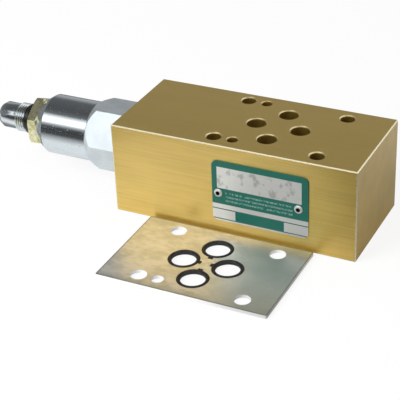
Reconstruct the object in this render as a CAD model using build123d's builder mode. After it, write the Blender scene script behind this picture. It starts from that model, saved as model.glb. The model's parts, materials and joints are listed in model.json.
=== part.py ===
from build123d import *
import math
import os

# Pressure regulating valve: an aluminium sandwich block with a screw-in spring cartridge.
# The seal plate that goes under it is taken off and lies in front of the block.
# Millimetres, +Z up. The origin is on the lower face, at the middle of the port pattern.
# +X runs along the block, away from the adjusting screw, and -Y faces the name plate.

# Bolt and port pattern, the same on the block and on the seal plate
bolt_spacing = 40.5
front_bolt_wall = 6.25
left_bolt_back_wall = 5.5
right_bolt_back_wall = 6.25
centre_port_x = -1.25
centre_port_offset = 10.4
left_port_x = -9.95
right_port_x = 7.55
pin_from_bolt = 7.5

# Valve block
block_left_overhang = 40.0
block_right_overhang = 17.5
block_width = 43.5
block_height = 37.0
block_edge = 0.4
port_diameter = 7.4
port_mouth = 0.35
bolt_hole_diameter = 5.6
bolt_hole_mouth = 0.4
pin_hole_diameter = 4.2
pin_hole_depth = 6.0
pin_hole_mouth = 0.25
rim_tolerance = 0.01
blind_port_depth = 9.5

# Cartridge cavity in the block's left end, station by station along its axis
axis_height = 20.0
seal_recess_radius = 11.5
seal_recess_depth = 2.5
cavity_thread_radius = 10.0
cavity_thread_length = 12.5
drain_groove_width = 3.5
groove_radius = 10.3
land_radius = 8.75
first_land_width = 4.0
inlet_groove_width = 4.5
second_land_width = 4.0
outlet_groove_width = 5.0
nose_bore_length = 4.5
nose_taper = 3.0

# Galleries drilled between the cavity and the ports, and the plugs that close them
gallery_radius = 2.0
lower_gallery_height = 7.5
upper_gallery_height = 31.5
outlet_cross_height = 28.5
cross_drill_offset = 8.5
plug_radius = 3.0
plug_length = 4.5
plug_seat_step = 0.5
plug_clearance = 0.02
plug_recess = 0.2
plug_socket_across_flats = 3.0
plug_socket_depth = 2.5

# Cartridge body: the hexagon and the threaded shank
hexagon_across_flats = 25.0
hexagon_length = 18.5
hexagon_turn = 56.4
hexagon_outer_taper = 3.4
hexagon_rim_radius = 12.3
hexagon_inner_bevel = 0.5
shank_neck_radius = 8.95
shank_thread_start = 2.6
shank_thread_radius = 9.95
shank_thread_length = 7.2
shank_thread_bevel = 1.0
shank_radius = 9.0
shank_length = 17.4
spring_bore_radius = 7.5
spring_bore_depth = 12.5
housing_socket_radius = 9.1
housing_socket_depth = 10.5
drain_hole_radius = 0.9
drain_hole_station = 11.2
drain_hole_count = 4
drill_runout = 1.0

# Spring housing: the plain barrel screwed into the hexagon
barrel_radius = 12.0
barrel_length = 24.1
barrel_chamfer_length = 4.1
barrel_chamfer_depth = 2.7
barrel_end_wall = 4.0
housing_spigot_radius = 9.05
housing_spigot_length = 10.2
housing_groove_from_end = 1.2
housing_groove_width = 1.6
housing_groove_depth = 1.1

# Adjusting screw, with its lock nut and stop ring
screw_radius = 5.95
screw_thread_clearance = 0.05
screw_outside_length = 21.0
screw_nose_radius = 5.3
screw_nose_length = 6.8
screw_cone_length = 2.9
screw_tip_length = 1.85
screw_tip_radius = 4.25
socket_across_flats = 6.0
socket_depth = 6.5
stop_ring_from_nut = 2.3
stop_ring_width = 1.2
stop_ring_proud = 0.3
stop_ring_groove_depth = 0.7
stop_ring_clearance = 0.02
nut_across_flats = 18.0
nut_thickness = 4.0
nut_turn = 33.7
nut_bevel = 0.9
collar_clearance = 0.05
collar_length = 5.0
screw_out_travel = 4.0
travel_clearance = 0.3
collar_groove_width = 1.9
collar_groove_depth = 1.45
screw_undercut_length = 1.2
screw_undercut_depth = 0.7
screw_dome_length = 0.6
screw_dome_radius = 3.0
screw_dome_bevel = 1.0
screw_dome_gap = 0.05

# Spring and its two seats
follower_radius = 7.2
follower_thickness = 3.0
follower_spigot_radius = 3.9
follower_spigot_length = 3.5
follower_edge = 0.8
spigot_bevel = 1.0
wire_radius = 1.0
wire_sides = 8
coil_radius = 5.4
coil_count = 9
spring_end_gap = 0.05
spool_seat_radius = 6.8
spool_seat_thickness = 1.8
spool_seat_gap = 0.2
spool_seat_spigot_radius = 3.9
spool_seat_spigot_length = 3.2
spool_seat_stem_radius = 1.95
spool_seat_stem_length = 3.5

# Sleeve and spool
land_clearance = 0.05
sleeve_spigot_radius = 8.2
sleeve_spigot_clearance = 0.03
sleeve_nose_radius = 8.0
sleeve_nose_overhang = 3.5
sleeve_port_radius = 1.5
sleeve_port_count = 6
outlet_port_setback = 0.3
seal_groove_radius = 7.25
seal_groove_width = 2.4
spool_radius = 5.0
spool_clearance = 0.03
spool_waist_radius = 3.2
spool_end_land = 3.2
spool_port_lap = 0.25
spool_bore_radius = 2.0
spool_bore_depth = 8.0
spool_stop_gap = 0.1
disc_pocket_radius = 6.0
disc_thickness = 1.0
disc_clearance = 0.05
orifice_radius = 0.6
retaining_ring_width = 0.8
retaining_ring_wall = 1.4
retaining_groove_depth = 0.4
retaining_ring_opening = 50.0
retaining_ring_play = 0.1
disc_play = 0.1
sleeve_lip = 0.2

# Seal rings: round cords and flat backing rings
hexagon_seal_cord = 2.2
sleeve_seal_cord = 1.44
collar_seal_cord = 1.4
housing_seal_cord = 1.0
backing_ring_width = 0.8
seal_clearance = 0.03
cord_sides = 8

# Name plate and its rivets
name_plate_width = 38.0
name_plate_height = 25.0
name_plate_thickness = 0.5
name_plate_corner = 2.2
name_plate_x = 0.6
name_plate_z = 18.4
rivet_from_edge = 3.1
rivet_z = 17.6
rivet_head_radius = 1.65
rivet_head_height = 0.6
rivet_crown_radius = 1.2
rivet_shank_radius = 0.9
rivet_shank_length = 4.0
rivet_hollow_radius = 0.8
rivet_hollow_depth = 0.9
rivet_clearance = 0.03

# Seal plate and its four port seals
plate_x = -9.5
plate_gap = 1.35
plate_left_margin = 14.7
plate_right_margin = 11.5
plate_front_margin = 5.6
plate_back_margin = 5.65
plate_thickness = 1.2
plate_corner = 0.6
plate_bolt_diameter = 6.1
plate_pin_diameter = 4.6
seal_outer_radius = 5.95
seal_inner_radius = 4.6
seal_thickness = 1.8
seal_edge = 0.4
seal_fit = 0.05
seal_tab_width = 1.9
seal_tab_reach = 1.0

# Places worked out from the sizes above
left_end = -bolt_spacing / 2 - block_left_overhang
right_end = bolt_spacing / 2 + block_right_overhang
front_face = -block_width / 2
back_face = block_width / 2
front_bolt_offset = block_width / 2 - front_bolt_wall
left_bolt_spread = block_width - front_bolt_wall - left_bolt_back_wall
right_bolt_spread = block_width - front_bolt_wall - right_bolt_back_wall
rivet_spacing = name_plate_width - 2 * rivet_from_edge
bolt_places = [
    (-bolt_spacing / 2, -front_bolt_offset),
    (bolt_spacing / 2, -front_bolt_offset),
    (-bolt_spacing / 2, left_bolt_spread - front_bolt_offset),
    (bolt_spacing / 2, right_bolt_spread - front_bolt_offset),
]
pin_x = -bolt_spacing / 2 + pin_from_bolt
front_pin_y = -front_bolt_offset
back_pin_y = left_bolt_spread - front_bolt_offset
tank_port = (centre_port_x, -centre_port_offset)
pressure_port = (centre_port_x, centre_port_offset)
through_ports = [tank_port, (left_port_x, 0), (right_port_x, 0)]

drain_groove_start = seal_recess_depth + cavity_thread_length
first_land_start = drain_groove_start + drain_groove_width
inlet_groove_start = first_land_start + first_land_width
second_land_start = inlet_groove_start + inlet_groove_width
outlet_groove_start = second_land_start + second_land_width
nose_bore_start = outlet_groove_start + outlet_groove_width
nose_bore_end = nose_bore_start + nose_bore_length
outlet_cross_station = outlet_groove_start + outlet_groove_width / 2

sleeve_start = spring_bore_depth
sleeve_end = nose_bore_start + sleeve_nose_overhang
inlet_middle = inlet_groove_start + inlet_groove_width / 2
outlet_middle = outlet_groove_start + sleeve_port_radius + outlet_port_setback
ring_groove_end = sleeve_end - sleeve_lip
ring_groove_start = ring_groove_end - retaining_ring_width - retaining_ring_play
disc_pocket_start = ring_groove_start - disc_play - disc_thickness
spool_end = disc_pocket_start - spool_stop_gap
spool_start = sleeve_start - spool_seat_gap
waist_start = inlet_middle - sleeve_port_radius - spool_port_lap
waist_end = spool_end - spool_end_land
seat_face = spool_start - spool_seat_thickness

barrel_inner_end = -hexagon_length
barrel_outer_end = barrel_inner_end - barrel_length
nut_end = barrel_outer_end - nut_thickness
screw_tip = barrel_outer_end - screw_outside_length
collar_start = barrel_outer_end + barrel_end_wall + screw_out_travel + travel_clearance
collar_end = collar_start + collar_length
follower_start = collar_end + screw_dome_length
follower_face = follower_start + follower_thickness
stop_ring_end = nut_end - stop_ring_from_nut
stop_ring_start = stop_ring_end - stop_ring_width

plate_bottom = (seal_thickness - plate_thickness) / 2
plate_high_y = front_face - plate_gap
plate_y = plate_high_y - plate_back_margin - left_bolt_spread + front_bolt_offset

# The cartridge's own plane: along its axis, and out from it, from the block's left end face
cartridge_plane = Plane(origin=(left_end, 0, axis_height), x_dir=(1, 0, 0), z_dir=(0, -1, 0))
cartridge_axis = Axis((left_end, 0, axis_height), (1, 0, 0))


def turned_section(*corners):
    """A closed outline of (along, radius) corners, for turning about the cartridge's axis."""
    with BuildSketch(cartridge_plane) as section:
        with BuildLine():
            Polyline(*corners, close=True)
        make_face()
    return section.sketch


def cord_section(along, inner_radius, cord):
    """The section of a seal ring's cord, at a station along the cartridge's axis."""
    with BuildSketch(cartridge_plane) as section:
        with Locations((along, inner_radius + cord / 2)):
            RegularPolygon(cord / 2, cord_sides, rotation=180 / cord_sides, major_radius=False)
    return section.sketch


def station_plane(along, facing=1):
    """A plane square to the cartridge's axis at a station, its normal along +X or -X."""
    return Plane(
        origin=(left_end + along, 0, axis_height), x_dir=(0, facing, 0), z_dir=(facing, 0, 0)
    )


def radial_plane(along, turn):
    """A plane whose normal points out from the cartridge's axis, turned about that axis."""
    outward = (0, math.cos(math.radians(turn)), math.sin(math.radians(turn)))
    return Plane(origin=(left_end + along, 0, axis_height), x_dir=(1, 0, 0), z_dir=outward)


# Each plug bore is an origin on the block's surface with its outward normal
plug_places = [
    Plane(origin=(left_end, y, z), x_dir=(0, -1, 0), z_dir=(-1, 0, 0))
    for y, z in (
        (centre_port_offset, lower_gallery_height),
        (centre_port_offset, upper_gallery_height),
        (-centre_port_offset, lower_gallery_height),
    )
]
plug_places += [
    Plane(origin=(left_end + inlet_middle, cross_drill_offset, 0), z_dir=(0, 0, -1)),
    Plane(
        origin=(left_end + drain_groove_start + drain_groove_width / 2, -cross_drill_offset, 0),
        z_dir=(0, 0, -1),
    ),
    Plane(
        origin=(left_end + outlet_cross_station, back_face, outlet_cross_height),
        x_dir=(1, 0, 0),
        z_dir=(0, 1, 0),
    ),
]
gallery_lengths = [
    centre_port_x - left_end,
    centre_port_x - left_end,
    centre_port_x - left_end,
    axis_height - groove_radius / 2,
    axis_height - groove_radius / 2,
    back_face,
]


with BuildPart() as valve_body:
    with BuildSketch(Plane.XY):
        with Locations(((left_end + right_end) / 2, 0)):
            Rectangle(right_end - left_end, block_width)
    extrude(amount=block_height)
    chamfer(valve_body.edges(), block_edge)

    # Ports: tank and the two service lines run through, pressure is stopped between the faces
    with BuildSketch(Plane.XY):
        with Locations(*through_ports):
            Circle(port_diameter / 2)
    extrude(amount=block_height, mode=Mode.SUBTRACT)
    with BuildSketch(Plane.XY):
        with Locations(pressure_port):
            Circle(port_diameter / 2)
    extrude(amount=blind_port_depth, mode=Mode.SUBTRACT)
    with BuildSketch(Plane.XY.offset(block_height)):
        with Locations(pressure_port):
            Circle(port_diameter / 2)
    extrude(amount=-blind_port_depth, mode=Mode.SUBTRACT)

    # Bolt holes right through, and the locating pin holes
    with BuildSketch(Plane.XY):
        with Locations(*bolt_places):
            Circle(bolt_hole_diameter / 2)
    extrude(amount=block_height, mode=Mode.SUBTRACT)
    with BuildSketch(Plane.XY.offset(block_height)):
        with Locations((pin_x, front_pin_y), (pin_x, back_pin_y)):
            Circle(pin_hole_diameter / 2)
    extrude(amount=-pin_hole_depth, mode=Mode.SUBTRACT)
    with BuildSketch(Plane.XY):
        with Locations((pin_x, back_pin_y)):
            Circle(pin_hole_diameter / 2)
    extrude(amount=pin_hole_depth, mode=Mode.SUBTRACT)

    # Small countersinks at every mouth, by the hole's size
    for face_height in (0, block_height):
        mouths = valve_body.edges().filter_by(GeomType.CIRCLE).filter_by_position(
            Axis.Z, face_height - rim_tolerance, face_height + rim_tolerance
        )
        for diameter, mouth in (
            (port_diameter, port_mouth),
            (bolt_hole_diameter, bolt_hole_mouth),
            (pin_hole_diameter, pin_hole_mouth),
        ):
            rims = mouths.filter_by(lambda rim: abs(rim.radius - diameter / 2) < rim_tolerance)
            chamfer(rims, mouth)

    # The stepped cartridge cavity
    revolve(
        turned_section(
            (0, 0),
            (0, seal_recess_radius),
            (seal_recess_depth, seal_recess_radius),
            (seal_recess_depth, cavity_thread_radius),
            (drain_groove_start, cavity_thread_radius),
            (drain_groove_start, groove_radius),
            (first_land_start, groove_radius),
            (first_land_start, land_radius),
            (inlet_groove_start, land_radius),
            (inlet_groove_start, groove_radius),
            (second_land_start, groove_radius),
            (second_land_start, land_radius),
            (outlet_groove_start, land_radius),
            (outlet_groove_start, groove_radius),
            (nose_bore_start, groove_radius),
            (nose_bore_start, land_radius),
            (nose_bore_end, land_radius),
            (nose_bore_end + nose_taper, land_radius - nose_taper),
            (nose_bore_end + nose_taper, 0),
        ),
        axis=cartridge_axis,
        mode=Mode.SUBTRACT,
    )

    # Galleries with their plug seats
    for place, length in zip(plug_places, gallery_lengths):
        with BuildSketch(place):
            Circle(plug_radius)
        extrude(amount=-(plug_length + plug_seat_step), mode=Mode.SUBTRACT)
        with BuildSketch(place):
            Circle(gallery_radius)
        extrude(amount=-length, mode=Mode.SUBTRACT)

    # Blind holes that the name plate's rivets are driven into
    with BuildSketch(Plane(origin=(0, front_face, 0), x_dir=(1, 0, 0), z_dir=(0, -1, 0))):
        with Locations((-rivet_spacing / 2, rivet_z), (rivet_spacing / 2, rivet_z)):
            Circle(rivet_shank_radius)
    extrude(amount=-(rivet_shank_length + plug_seat_step), mode=Mode.SUBTRACT)


with BuildPart() as gallery_plugs:
    for place in plug_places:
        with BuildSketch(place.offset(-plug_length)):
            Circle(plug_radius - plug_clearance)
        extrude(amount=plug_length - plug_recess)
        with BuildSketch(place.offset(-plug_recess)):
            RegularPolygon(plug_socket_across_flats / 2, 6, major_radius=False)
        extrude(amount=-plug_socket_depth, mode=Mode.SUBTRACT)


with BuildPart() as name_plate:
    with BuildSketch(Plane(origin=(0, front_face, 0), x_dir=(1, 0, 0), z_dir=(0, -1, 0))):
        with Locations((name_plate_x, name_plate_z)):
            RectangleRounded(name_plate_width, name_plate_height, name_plate_corner)
        with Locations((-rivet_spacing / 2, rivet_z), (rivet_spacing / 2, rivet_z)):
            Circle(rivet_shank_radius + rivet_clearance, mode=Mode.SUBTRACT)
    extrude(amount=name_plate_thickness)


with BuildPart() as name_plate_rivets:
    for side in (-1, 1):
        rivet_x = side * rivet_spacing / 2
        rivet_y = front_face - name_plate_thickness
        rivet_plane = Plane(origin=(rivet_x, rivet_y, rivet_z), x_dir=(1, 0, 0), z_dir=(0, 0, 1))
        with BuildSketch(rivet_plane):
            with BuildLine():
                outer = Polyline(
                    (0, rivet_shank_length + name_plate_thickness),
                    (rivet_shank_radius - rivet_clearance, rivet_shank_length + name_plate_thickness),
                    (rivet_shank_radius - rivet_clearance, 0),
                    (rivet_head_radius, 0),
                    (rivet_head_radius, -rivet_head_height / 3),
                )
                crown = RadiusArc(outer @ 1, (rivet_hollow_radius, -rivet_head_height), rivet_crown_radius)
                Polyline(crown @ 1, (rivet_hollow_radius, rivet_hollow_depth - rivet_head_height))
                Line((rivet_hollow_radius, rivet_hollow_depth - rivet_head_height), (0, rivet_hollow_depth))
                Line((0, rivet_hollow_depth), outer @ 0)
            make_face()
        revolve(axis=Axis((rivet_x, rivet_y, rivet_z), (0, 1, 0)))


with BuildPart() as seal_plate:
    with BuildSketch(Plane.XY.offset(plate_bottom)):
        plate_low_x = plate_x - bolt_spacing / 2 - plate_left_margin
        plate_high_x = plate_x + bolt_spacing / 2 + plate_right_margin
        plate_low_y = plate_y - front_bolt_offset - plate_front_margin
        with Locations(((plate_low_x + plate_high_x) / 2, (plate_low_y + plate_high_y) / 2)):
            RectangleRounded(plate_high_x - plate_low_x, plate_high_y - plate_low_y, plate_corner)
        with Locations(*[(plate_x + x, plate_y + y) for x, y in bolt_places]):
            Circle(plate_bolt_diameter / 2, mode=Mode.SUBTRACT)
        with Locations((plate_x + pin_x, plate_y + front_pin_y)):
            Circle(plate_pin_diameter / 2, mode=Mode.SUBTRACT)
        for x, y in through_ports + [pressure_port]:
            inward = math.degrees(math.atan2(-y, centre_port_x - x))
            with Locations(Location((plate_x + x, plate_y + y), inward)):
                Circle(seal_outer_radius + seal_fit, mode=Mode.SUBTRACT)
            notch_x = plate_x + x + (seal_outer_radius + seal_tab_reach / 2) * math.cos(math.radians(inward))
            notch_y = plate_y + y + (seal_outer_radius + seal_tab_reach / 2) * math.sin(math.radians(inward))
            with Locations(Location((notch_x, notch_y), inward)):
                Rectangle(
                    seal_tab_reach + 2 * seal_fit,
                    seal_tab_width + 2 * seal_fit,
                    mode=Mode.SUBTRACT,
                )
    extrude(amount=plate_thickness)


with BuildPart() as cartridge_body:
    # Hexagon, turned down by a long taper outside and a short bevel against the block
    with BuildSketch(station_plane(-hexagon_length)):
        RegularPolygon(hexagon_across_flats / 2, 6, major_radius=False, rotation=hexagon_turn)
    extrude(amount=hexagon_length)
    corner_radius = hexagon_across_flats / math.sqrt(3)
    revolve(
        turned_section(
            (-hexagon_length, 0),
            (-hexagon_length, hexagon_rim_radius),
            (hexagon_outer_taper - hexagon_length, corner_radius),
            (-hexagon_inner_bevel, corner_radius),
            (0, corner_radius - hexagon_inner_bevel),
            (0, 0),
        ),
        axis=cartridge_axis,
        mode=Mode.INTERSECT,
    )
    revolve(
        turned_section(
            (0, 0),
            (0, shank_neck_radius),
            (shank_thread_start, shank_neck_radius),
            (shank_thread_start + shank_thread_bevel, shank_thread_radius),
            (shank_thread_start + shank_thread_length - shank_thread_bevel, shank_thread_radius),
            (shank_thread_start + shank_thread_length, shank_radius),
            (shank_length, shank_radius),
            (shank_length, 0),
        ),
        axis=cartridge_axis,
    )
    revolve(
        turned_section(
            (-hexagon_length, 0),
            (-hexagon_length, housing_socket_radius),
            (housing_socket_depth - hexagon_length, housing_socket_radius),
            (housing_socket_depth - hexagon_length, spring_bore_radius),
            (spring_bore_depth, spring_bore_radius),
            (spring_bore_depth, sleeve_spigot_radius),
            (shank_length, sleeve_spigot_radius),
            (shank_length, 0),
        ),
        axis=cartridge_axis,
        mode=Mode.SUBTRACT,
    )
    for number in range(drain_hole_count):
        with BuildSketch(radial_plane(drain_hole_station, number * 360 / drain_hole_count)):
            Circle(drain_hole_radius)
        extrude(amount=shank_radius + drill_runout, mode=Mode.SUBTRACT)


with BuildPart() as spring_housing:
    spigot_end = barrel_inner_end + housing_spigot_length
    groove_end = spigot_end - housing_groove_from_end
    groove_start = groove_end - housing_groove_width
    revolve(
        turned_section(
            (barrel_outer_end, screw_radius + screw_thread_clearance),
            (barrel_outer_end, barrel_radius - barrel_chamfer_depth),
            (barrel_outer_end + barrel_chamfer_length, barrel_radius),
            (barrel_inner_end, barrel_radius),
            (barrel_inner_end, housing_spigot_radius),
            (groove_start, housing_spigot_radius),
            (groove_start, housing_spigot_radius - housing_groove_depth),
            (groove_end, housing_spigot_radius - housing_groove_depth),
            (groove_end, housing_spigot_radius),
            (spigot_end, housing_spigot_radius),
            (spigot_end, spring_bore_radius),
            (barrel_outer_end + barrel_end_wall, spring_bore_radius),
            (barrel_outer_end + barrel_end_wall, screw_radius + screw_thread_clearance),
        ),
        axis=cartridge_axis,
    )


with BuildPart() as cartridge_sleeve:
    first_groove = (first_land_start + inlet_groove_start - seal_groove_width) / 2
    second_groove = (second_land_start + outlet_groove_start - seal_groove_width) / 2
    sleeve_radius = land_radius - land_clearance
    revolve(
        turned_section(
            (sleeve_start, spool_radius),
            (sleeve_start, sleeve_spigot_radius - sleeve_spigot_clearance),
            (shank_length, sleeve_spigot_radius - sleeve_spigot_clearance),
            (shank_length, sleeve_radius),
            (first_groove, sleeve_radius),
            (first_groove, seal_groove_radius),
            (first_groove + seal_groove_width, seal_groove_radius),
            (first_groove + seal_groove_width, sleeve_radius),
            (second_groove, sleeve_radius),
            (second_groove, seal_groove_radius),
            (second_groove + seal_groove_width, seal_groove_radius),
            (second_groove + seal_groove_width, sleeve_radius),
            (outlet_groove_start, sleeve_radius),
            (outlet_groove_start, sleeve_nose_radius),
            (sleeve_end, sleeve_nose_radius),
            (sleeve_end, disc_pocket_radius),
            (ring_groove_end, disc_pocket_radius),
            (ring_groove_end, disc_pocket_radius + retaining_groove_depth),
            (ring_groove_start, disc_pocket_radius + retaining_groove_depth),
            (ring_groove_start, disc_pocket_radius),
            (disc_pocket_start, disc_pocket_radius),
            (disc_pocket_start, spool_radius),
        ),
        axis=cartridge_axis,
    )
    for station in (inlet_middle, outlet_middle):
        for number in range(sleeve_port_count):
            with BuildSketch(radial_plane(station, number * 360 / sleeve_port_count)):
                Circle(sleeve_port_radius)
            extrude(amount=land_radius + drill_runout, mode=Mode.SUBTRACT)


with BuildPart() as orifice_disc:
    revolve(
        turned_section(
            (disc_pocket_start, orifice_radius),
            (disc_pocket_start, disc_pocket_radius - disc_clearance),
            (disc_pocket_start + disc_thickness, disc_pocket_radius - disc_clearance),
            (disc_pocket_start + disc_thickness, orifice_radius),
        ),
        axis=cartridge_axis,
    )


with BuildPart() as retaining_ring:
    ring_outer_radius = disc_pocket_radius + retaining_groove_depth - disc_clearance
    with BuildSketch(station_plane(ring_groove_end - retaining_ring_width)):
        Circle(ring_outer_radius)
        Circle(ring_outer_radius - retaining_ring_wall, mode=Mode.SUBTRACT)
        with BuildLine():
            half_opening = math.radians(retaining_ring_opening / 2)
            reach = 2 * ring_outer_radius
            Polyline(
                (0, 0),
                (reach * math.cos(half_opening), reach * math.sin(half_opening)),
                (reach * math.cos(half_opening), -reach * math.sin(half_opening)),
                close=True,
            )
        make_face(mode=Mode.SUBTRACT)
    extrude(amount=retaining_ring_width)


with BuildPart() as spool:
    land = spool_radius - spool_clearance
    revolve(
        turned_section(
            (spool_start, spool_bore_radius),
            (spool_start, land),
            (waist_start, land),
            (waist_start, spool_waist_radius),
            (waist_end, spool_waist_radius),
            (waist_end, land),
            (spool_end, land),
            (spool_end, 0),
            (spool_start + spool_bore_depth, 0),
            (spool_start + spool_bore_depth, spool_bore_radius),
        ),
        axis=cartridge_axis,
    )


with BuildPart() as spool_spring_seat:
    revolve(
        turned_section(
            (seat_face - spool_seat_spigot_length, 0),
            (seat_face - spool_seat_spigot_length, spool_seat_spigot_radius - spigot_bevel),
            (seat_face - spool_seat_spigot_length + spigot_bevel, spool_seat_spigot_radius),
            (seat_face, spool_seat_spigot_radius),
            (seat_face, spool_seat_radius),
            (spool_start, spool_seat_radius),
            (spool_start, spool_seat_stem_radius),
            (spool_start + spool_seat_stem_length, spool_seat_stem_radius),
            (spool_start + spool_seat_stem_length, 0),
        ),
        axis=cartridge_axis,
    )


with BuildPart() as spring_follower:
    revolve(
        turned_section(
            (follower_start, 0),
            (follower_start, follower_radius - follower_edge),
            (follower_start + follower_edge, follower_radius),
            (follower_face, follower_radius),
            (follower_face, follower_spigot_radius),
            (follower_face + follower_spigot_length - spigot_bevel, follower_spigot_radius),
            (follower_face + follower_spigot_length, follower_spigot_radius - spigot_bevel),
            (follower_face + follower_spigot_length, 0),
        ),
        axis=cartridge_axis,
    )


with BuildPart() as main_spring:
    coil_start = follower_face + wire_radius + spring_end_gap
    coil_length = seat_face - wire_radius - spring_end_gap - coil_start
    with BuildLine():
        coil = Helix(
            pitch=coil_length / coil_count,
            height=coil_length,
            radius=coil_radius,
            center=(left_end + coil_start, 0, axis_height),
            direction=(1, 0, 0),
        )
    with BuildSketch(Plane(origin=coil @ 0, z_dir=coil % 0)):
        RegularPolygon(wire_radius, wire_sides)
    sweep()


with BuildPart() as adjusting_screw:
    cone_start = screw_tip + screw_nose_length
    thread_start = cone_start + screw_cone_length
    ring_groove_floor = screw_radius - stop_ring_groove_depth
    collar_radius = spring_bore_radius - collar_clearance
    seal_groove_start = collar_start + (collar_length - collar_groove_width) / 2
    seal_groove_end = seal_groove_start + collar_groove_width
    revolve(
        turned_section(
            (screw_tip, 0),
            (screw_tip, screw_tip_radius),
            (screw_tip + screw_tip_length, screw_nose_radius),
            (cone_start, screw_nose_radius),
            (thread_start, screw_radius),
            (stop_ring_start, screw_radius),
            (stop_ring_start, ring_groove_floor),
            (stop_ring_end, ring_groove_floor),
            (stop_ring_end, screw_radius),
            (collar_start - screw_undercut_length, screw_radius),
            (collar_start - screw_undercut_length, screw_radius - screw_undercut_depth),
            (collar_start, screw_radius - screw_undercut_depth),
            (collar_start, collar_radius),
            (seal_groove_start, collar_radius),
            (seal_groove_start, collar_radius - collar_groove_depth),
            (seal_groove_end, collar_radius - collar_groove_depth),
            (seal_groove_end, collar_radius),
            (collar_end, collar_radius),
            (collar_end, screw_dome_radius),
            (follower_start - screw_dome_gap, screw_dome_radius - screw_dome_bevel),
            (follower_start - screw_dome_gap, 0),
        ),
        axis=cartridge_axis,
    )
    with BuildSketch(station_plane(screw_tip)):
        RegularPolygon(socket_across_flats / 2, 6, major_radius=False)
    extrude(amount=socket_depth, mode=Mode.SUBTRACT)


with BuildPart() as screw_seal:
    collar_cord_inner = spring_bore_radius - seal_clearance - collar_seal_cord
    revolve(
        cord_section((seal_groove_start + seal_groove_end) / 2, collar_cord_inner, collar_seal_cord),
        axis=cartridge_axis,
    )


with BuildPart() as stop_ring:
    revolve(
        turned_section(
            (stop_ring_start, ring_groove_floor + stop_ring_clearance),
            (stop_ring_start, screw_radius + stop_ring_proud),
            (stop_ring_end, screw_radius + stop_ring_proud),
            (stop_ring_end, ring_groove_floor + stop_ring_clearance),
        ),
        axis=cartridge_axis,
    )


with BuildPart() as lock_nut:
    with BuildSketch(station_plane(nut_end)):
        RegularPolygon(nut_across_flats / 2, 6, major_radius=False, rotation=nut_turn)
        Circle(screw_radius + screw_thread_clearance, mode=Mode.SUBTRACT)
    extrude(amount=nut_thickness)
    nut_corner = nut_across_flats / math.sqrt(3)
    revolve(
        turned_section(
            (nut_end, 0),
            (nut_end, nut_corner - nut_bevel),
            (nut_end + nut_bevel / 2, nut_corner),
            (barrel_outer_end - nut_bevel / 2, nut_corner),
            (barrel_outer_end, nut_corner - nut_bevel),
            (barrel_outer_end, 0),
        ),
        axis=cartridge_axis,
        mode=Mode.INTERSECT,
    )


with BuildPart() as hexagon_seal:
    revolve(
        cord_section(seal_recess_depth / 2, shank_neck_radius + seal_clearance, hexagon_seal_cord),
        axis=cartridge_axis,
    )


with BuildPart() as housing_seal:
    housing_cord_inner = housing_socket_radius - seal_clearance - housing_seal_cord
    revolve(
        cord_section((groove_start + groove_end) / 2, housing_cord_inner, housing_seal_cord),
        axis=cartridge_axis,
    )


sleeve_cord_inner = land_radius - seal_clearance - sleeve_seal_cord
with BuildPart() as inlet_seal:
    inlet_cord_station = first_groove + sleeve_seal_cord / 2 + seal_clearance
    revolve(cord_section(inlet_cord_station, sleeve_cord_inner, sleeve_seal_cord), axis=cartridge_axis)


with BuildPart() as outlet_seal:
    outlet_cord_station = second_groove + seal_groove_width - sleeve_seal_cord / 2 - seal_clearance
    revolve(cord_section(outlet_cord_station, sleeve_cord_inner, sleeve_seal_cord), axis=cartridge_axis)


with BuildPart() as inlet_backing_ring:
    inlet_backing_end = first_groove + seal_groove_width - seal_clearance
    revolve(
        turned_section(
            (inlet_backing_end - backing_ring_width, seal_groove_radius + seal_clearance),
            (inlet_backing_end - backing_ring_width, land_radius - seal_clearance),
            (inlet_backing_end, land_radius - seal_clearance),
            (inlet_backing_end, seal_groove_radius + seal_clearance),
        ),
        axis=cartridge_axis,
    )


with BuildPart() as outlet_backing_ring:
    outlet_backing_start = second_groove + seal_clearance
    revolve(
        turned_section(
            (outlet_backing_start, seal_groove_radius + seal_clearance),
            (outlet_backing_start, land_radius - seal_clearance),
            (outlet_backing_start + backing_ring_width, land_radius - seal_clearance),
            (outlet_backing_start + backing_ring_width, seal_groove_radius + seal_clearance),
        ),
        axis=cartridge_axis,
    )


def port_seal(place):
    """One rubber port seal: a ring with eased edges and a small tab towards the pattern's middle."""
    x, y = place
    inward = math.degrees(math.atan2(-y, centre_port_x - x))
    seal_plane = Plane(origin=(plate_x + x, plate_y + y, 0)).rotated((0, 0, inward))
    with BuildPart() as seal:
        with BuildSketch(seal_plane):
            Circle(seal_outer_radius)
            Circle(seal_inner_radius, mode=Mode.SUBTRACT)
        extrude(amount=seal_thickness)
        chamfer(seal.edges().filter_by(GeomType.CIRCLE), seal_edge)
        with BuildSketch(seal_plane.offset(plate_bottom)):
            with Locations((seal_outer_radius + seal_tab_reach / 2 - seal_edge, 0)):
                Rectangle(seal_tab_reach + seal_edge, seal_tab_width)
        extrude(amount=plate_thickness)
    return seal.part


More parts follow.
